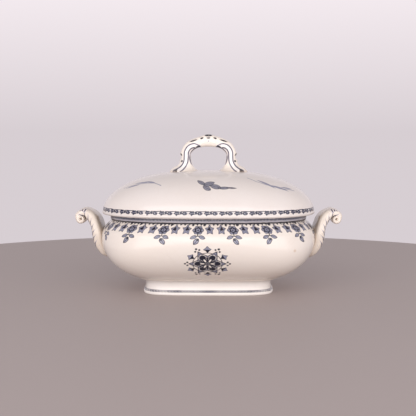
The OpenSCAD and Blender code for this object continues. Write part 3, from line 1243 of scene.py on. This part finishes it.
def print_wreath(u, v):
    pitch = whole_pitch(lid_length, 18.6)
    s = repeat(u, pitch)
    other = repeat(u + pitch / 2, pitch)
    t = v - WREATH_Z
    leaf = pointed(s * 0.76 + 0.4, t, 2.75, 5, 0.22, 190)
    leaf_vein = largest(size_of(t - s * 0.12) - 0.22, size_of(s + 0.5) - 2.4)
    tail = oval(s, t, (4.5, 0.6), (2.0, 1.15), -20)
    curl = oval(other, t, (0.2, -0.2), (3.1, 2.1), 8)
    open_side = oval(other, t, (3.0, 1.0), (1.3, 0.9))
    hook = oval(other, t, (0.9, 0.0), (1.3, 0.75), 20)
    curl_dark = smallest(largest(outline(curl + 0.5, 1.25), 0 - open_side), hook)
    nub = oval(other, t, (-4.5, 0.0), (1.6, 1.5), 35)
    line = largest(size_of(v - WREATH_LINE_Z) - 0.5, 0 - oval(s, t, (2.6, 2.0), (1.2, 1.4)))
    dark = smallest(largest(leaf, 0 - leaf_vein), tail, curl_dark, nub, line)
    return dark, smallest(leaf, curl)


# %% Sprigs on the dome
def print_sprig(x, y):
    """A spray of pointed leaves, hatched like an engraving."""
    lines, edges = [], []
    for at, size, tilt in (
        ((-8.0, -70.0), (7.0, 2.9), -48),
        ((1.5, -72.5), (7.5, 4.2), 28),
        ((9.5, -77.5), (7.5, 3.6), -18),
        ((-1.0, -80.0), (5.5, 3.0), -30),
        ((20.0, -79.5), (7.5, 1.9), 4),
        ((29.0, -79.0), (6.0, 1.0), 0),
    ):
        edge, along, across = leaf_shape(x, y, at, size, tilt)
        hatch = size_of(repeat(along + across * 0.8, 1.5)) - 0.33
        lines += [outline(edge, 0.75), largest(edge, hatch), largest(edge, across - 0.3)]
        edges.append(edge)
    return smallest(*lines), smallest(*edges)


def print_twigs(x, y):
    """Two bent branches near the lid's ends, with three narrow leaves on each."""
    twigs = []
    for branch in (
        ((-58, -70), (-66, -62), (-76, -57), (-92, -50), (-106, -44)),
        ((49, -52), (60, -60), (72, -63), (90, -62), (108, -49)),
    ):
        twigs += [stroke(x, y, start, end, 1.1) for start, end in zip(branch, branch[1:])]
    for at, size, tilt in (
        ((-82.0, -51.0), (12.0, 1.9), -28),
        ((-72.0, -56.0), (9.0, 1.7), -40),
        ((-94.0, -52.0), (10.0, 1.5), -18),
        ((72.0, -60.0), (13.0, 2.1), -24),
        ((88.0, -60.5), (13.0, 1.9), 8),
        ((98.0, -53.0), (9.0, 1.5), 34),
    ):
        twigs.append(leaf_shape(x, y, at, size, tilt)[0])
    return smallest(*twigs)


# %% [markdown]
# ## The lid's material
# The sprigs are turned half round for the back, so both long sides show the same. They stay
# above the wreath and on the outside.

# %% Lid material
WREATH_INK = (0.012, 0.014, 0.042, 1)
SPRIGS_FROM = 118.0

# The lid's cream is darker and cooler than the bowl's: painted shade on the dome, and its cool
# tint is a painted reflection of the pale room.
glaze = Glaze("lid_glaze_printed", (0.775, 0.727, 0.694, 1), (0.745, 0.683, 0.634, 1))
shift_u, shift_v = glaze.unsteady(0.7, 170.0)
wreath_dark, wreath_wash = print_wreath(glaze.u + shift_u, glaze.v + shift_v * 0.6)
outside = ink(glaze.v * -1.0)
back = sum_of("SIGN", glaze.y) * -1.0
turned_x, turned_y = glaze.x * back, size_of(glaze.y) * -1.0
sprig_dark, sprig_wash = print_sprig(turned_x, turned_y)
grain = glaze.noise(900.0, 1.0) * 0.5 + 0.7
upper = ink(SPRIGS_FROM - glaze.z, 2.0) * outside
glaze.stain(ink(sprig_wash) * grain * upper, WASH_COLOUR, 0.85)
glaze.stain(ink(print_twigs(turned_x, turned_y), 0.8) * grain * upper, WASH_COLOUR)
glaze.stain(ink(sprig_dark) * upper, INK_COLOUR, 0.72)
glaze.stain(ink(wreath_wash) * grain, WASH_COLOUR, 0.8)
glaze.stain(ink(wreath_dark) * (grain * 0.5 + 0.55), WREATH_INK)
glaze.fire(lid_shell)


# %% [markdown]
# ## Print on the foot
# A narrow printed braid lies in the angle above the foot's bead, worn in patches. The ring
# that stands on the table is wiped bare of glaze before firing, so it stays the colour of
# biscuit. The slip fillet, in the hollow under the bowl's overhang, is darkened brown as
# painted shade.

# %% Foot material
BISCUIT = (0.62, 0.50, 0.38, 1)
FILLET_SHADE = (0.60, 0.43, 0.31, 1)
BRAID_Z = 5.4

# The foot's cream is lighter than the bowl's: painted light on its upright face.
glaze = Glaze("foot_glaze_printed", (0.915, 0.880, 0.840, 1), (0.895, 0.845, 0.790, 1))
braid_pitch = whole_pitch(foot_length, 4.2)
s = repeat(glaze.u, braid_pitch)
t = glaze.v - BRAID_Z
braid = smallest(
    outline(oval(s, t, (0, 0), (1.5, 0.95)), 0.7),
    oval(repeat(glaze.u + braid_pitch / 2, braid_pitch), t, (0, 0.1), (0.9, 0.8)),
    outline(t - 1.15, 0.5),
)
patchy = boosted(glaze.noise(60.0, 3.0), 2.4, -0.55)
glaze.stain(ink(size_of(t) - 1.3) * patchy, WASH_COLOUR, 0.75)
glaze.stain(ink(braid) * (patchy * 0.6 + 0.4), INK_COLOUR, 0.95)
glaze.stain(ink(glaze.z - 0.35), BISCUIT, 0.8)
# painted shade in the hollow where the foot meets the bowl
glaze.stain(ramp(glaze.z, 17.0, 19.6), FILLET_SHADE, 0.4)
glaze.fire(foot_ring)


# %% [markdown]
# ## Brushwork on the side handles
# The handles are touched by hand with the same blue-black: slanting dashes in the flutes
# of the outer face, and short strokes that fan out over the top of the roll. A paler blue
# spreads round each stroke. The strap's inner face, which faces the bowl and lies in
# shadow, is painted brown as painted shade.

# %% Side handle material
dash_from, dash_to = flutes_from + 14.0, flutes_to - 2.0
TICK_TURN = math.radians(15)
TICKS_MIDDLE = math.radians(84)
TICKS_HALF = math.radians(44)
TICKS_REACH = 8.8
STRAP_SHADE = (0.40, 0.29, 0.20, 1)
STRAP_BLUE = (0.13, 0.14, 0.33, 1)

for piece in (handle_right, handle_left):
    glaze = Glaze(piece.name + "_glaze", (0.850, 0.770, 0.680, 1), (0.810, 0.700, 0.590, 1))
    slanted = glaze.u + glaze.v * -0.9
    dash = size_of(repeat(slanted, 7.2)) + size_of(glaze.v) * 0.24 - 1.75
    dash = largest(dash, dash_from - glaze.u, glaze.u - dash_to)
    from_eye_x, from_eye_z = size_of(glaze.x) - ROLL_X, glaze.z - ROLL_Z
    reach = length_of(from_eye_x, from_eye_z)
    turn = sum_of("ARCTAN2", from_eye_z, from_eye_x)
    tick = size_of(repeat(turn, TICK_TURN)) * reach - 0.62
    in_arc = (size_of(turn - TICKS_MIDDLE) - TICKS_HALF) * 10.0
    brushed = glaze.noise(260.0, 2.0) * 0.9 + 0.45
    ragged = TICKS_REACH - reach + brushed * 2.0
    tick = largest(tick, in_arc, ragged, ROLL_WIDE - 3.0 - size_of(glaze.y))
    # painted shade on the strap's inner face, which faces the bowl
    glaze.stain(ramp(glaze.v, 14.0, 18.0), STRAP_SHADE, 0.55)
    glaze.stain(ink(smallest(dash, tick) - 0.5, 0.9), STRAP_BLUE, 0.55)
    glaze.stain(ink(smallest(dash, tick), 0.6) * brushed, INK_COLOUR, 0.97)
    glaze.fire(piece)


# %% [markdown]
# ## Brushwork on the arch handle
# Each rib is edged by two blue-black lines and left white between them. A fine line follows
# the opening, and dots and short strokes mark the crest and the shoulders. The feet are
# painted a little brown where they are luted to the lid: glaze pooled at the join, and
# painted shade in the crease there.

# %% Arch material
ARCH_BLUE = (0.11, 0.12, 0.30, 1)
RIB_WHITE = (0.93, 0.90, 0.87, 1)
ROOT_SHADE_AND_BROWN = (0.58, 0.43, 0.30, 1)
INNER_FACE = 5.0

glaze = Glaze("arch_handle_glaze", (0.875, 0.810, 0.735, 1), (0.840, 0.755, 0.660, 1))
x, h = size_of(glaze.x), glaze.z - CROWN_Z
rib, opening = glaze.map_fields("Brush")
off_inner_face = INNER_FACE - size_of(glaze.y)
marks = smallest(
    oval(x, h, (0, 45.6), (4.9, 1.5)),
    oval(x, h, (8.6, 41.8), (2.2, 1.15), -24),
    oval(x, h, (0, 42.2), (2.5, 1.0)),
    oval(x, h, (19.6, 38.6), (5.0, 0.95), -18),
    largest(oval(x, h, (13.3, 30.4), (2.6, 1.7)), off_inner_face),
    oval(x, h, (34.6, 12.2), (1.5, 1.2), -40),
    oval(x, h, (35.4, 20.6), (2.0, 0.9), 62),
    oval(x, h, (42.6, 1.0), (3.6, 0.9), -28),
    oval(x, h, (42.4, -0.9), (2.4, 1.7), -30),
)
fade = boosted(glaze.noise(180.0, 2.0), 1.8, 0.15)
rib_line = outline(rib - 2.5, 0.95)
opening = largest(opening, off_inner_face)
glaze.stain(ink(rib - 2.1, 0.4), RIB_WHITE, 0.8)
glaze.stain(ink(smallest(outline(rib - 2.6, 1.8), opening - 1.1), 0.7), ARCH_BLUE, 0.6)
glaze.stain(ink(oval(x, h, (0, 38.2), (0.9, 0.8))), ARCH_BLUE, 0.8)
glaze.stain(ink(smallest(rib_line, opening - 0.6), 0.5) * fade, INK_COLOUR, 0.97)
glaze.stain(ink(marks, 0.6) * fade, INK_COLOUR, 0.97)
# brown at the arch's feet: pooled glaze at the join, and painted shade in the crease
glaze.stain(ramp(h, 1.2, -1.8), ROOT_SHADE_AND_BROWN, 0.35)
glaze.fire(arch_bar)


# %% [markdown]
# ## The floor
# The tureen stands on a plain pale disc, in metres here, as the lights are.

# %% Floor
FLOOR_RADIUS = 0.62

bm = bmesh.new()
bmesh.ops.create_circle(bm, cap_ends=True, segments=180, radius=FLOOR_RADIUS)
floor_mesh = bpy.data.meshes.new("floor")
bm.to_mesh(floor_mesh)
bm.free()
floor = bpy.data.objects.new("floor", floor_mesh)
bpy.context.scene.collection.objects.link(floor)
floor_material = bpy.data.materials.new("floor_pale")
floor_material.use_nodes = True
floor_finish = floor_material.node_tree.nodes["Principled BSDF"]
floor_finish.inputs["Base Color"].default_value = (0.46, 0.40, 0.385, 1)
floor_finish.inputs["Roughness"].default_value = 0.6
floor_mesh.materials.append(floor_material)


# %% [markdown]
# ## The light
# The light is soft daylight in a pale room: one wide light low in front and to the left,
# a weaker one on the right, and the room itself, which is brightest just over the table's
# height and grows dimmer towards the ceiling.

# %% Lights
DAYLIGHT = (1.0, 0.975, 0.97)


def soft_light(name, place, size, power):
    """A square soft light that points at the middle of the tureen."""
    data = bpy.data.lights.new(name, "AREA")
    data.size = size
    data.energy = power
    data.color = DAYLIGHT
    light = bpy.data.objects.new(name, data)
    light.location = place
    aim = Vector((0, 0, 0.09)) - Vector(place)
    light.rotation_euler = aim.to_track_quat("-Z", "Y").to_euler()
    bpy.context.scene.collection.objects.link(light)


soft_light("front_light", (-0.6, -2.5, 0.42), 3.4, 70.0)
soft_light("right_light", (1.6, -1.8, 0.55), 1.6, 13.0)


# %% Room
world = bpy.data.worlds.new("room")
world.use_nodes = True
room = world.node_tree.nodes["Background"]
sky = world.node_tree.nodes.new("ShaderNodeTexCoord")
height = world.node_tree.nodes.new("ShaderNodeSeparateXYZ")
ramp = world.node_tree.nodes.new("ShaderNodeValToRGB")
world.node_tree.links.new(sky.outputs["Generated"], height.inputs[0])
world.node_tree.links.new(height.outputs["Z"], ramp.inputs["Fac"])
world.node_tree.links.new(ramp.outputs["Color"], room.inputs["Color"])
low, high = ramp.color_ramp.elements
low.position, low.color = 0.0, (0.68, 0.62, 0.65, 1)
high.position, high.color = 0.9, (0.34, 0.32, 0.33, 1)
for place, colour in ((0.14, (0.90, 0.825, 0.86, 1)), (0.42, (0.72, 0.66, 0.685, 1))):
    ramp.color_ramp.elements.new(place).color = colour
bpy.context.scene.world = world
